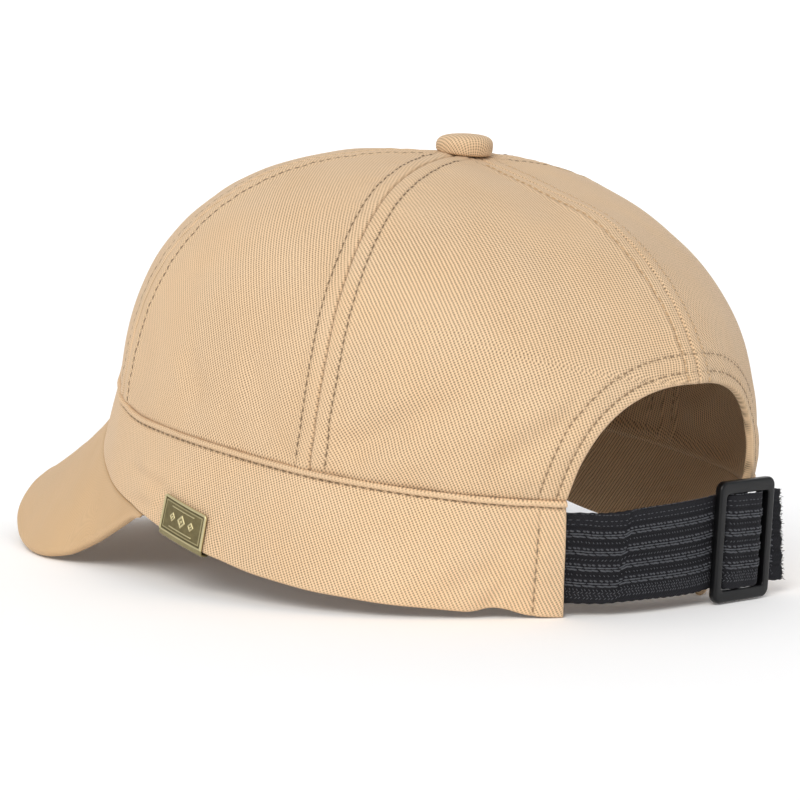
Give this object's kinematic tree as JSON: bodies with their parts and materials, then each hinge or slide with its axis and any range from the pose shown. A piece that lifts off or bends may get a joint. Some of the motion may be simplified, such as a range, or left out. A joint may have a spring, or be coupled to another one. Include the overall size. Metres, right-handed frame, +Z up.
{
  "type": "military cap",
  "caption": "Soft cotton-twill cap with a rounded crown, tall band, short curved peak, covered button, arched back opening and adjustable elastic strap.",
  "frame": {"origin": "on the ground under the middle of the cap's bounding box, as it stands on its two band ends and the peak's two low corners", "axes": "+X to the wearer's left, +Y to the back, +Z up"},
  "size_m": [0.17, 0.2718, 0.1353],
  "materials": {
    "twill": "matte cotton twill, khaki",
    "elastic": "black ribbed elastic webbing",
    "plastic": "satin black moulded plastic",
    "brass": "antique brass, brushed"
  },
  "bodies": {
    "root": {"panel_front": "twill", "panel_left_side": "twill", "panel_right_side": "twill", "panel_back_left": "twill", "panel_back_right": "twill", "band": "twill", "peak": "twill", "top_button": "twill", "strap": "elastic", "strap_anchor": "elastic", "slider": "plastic", "tag": "brass"}
  },
  "joints": []
}
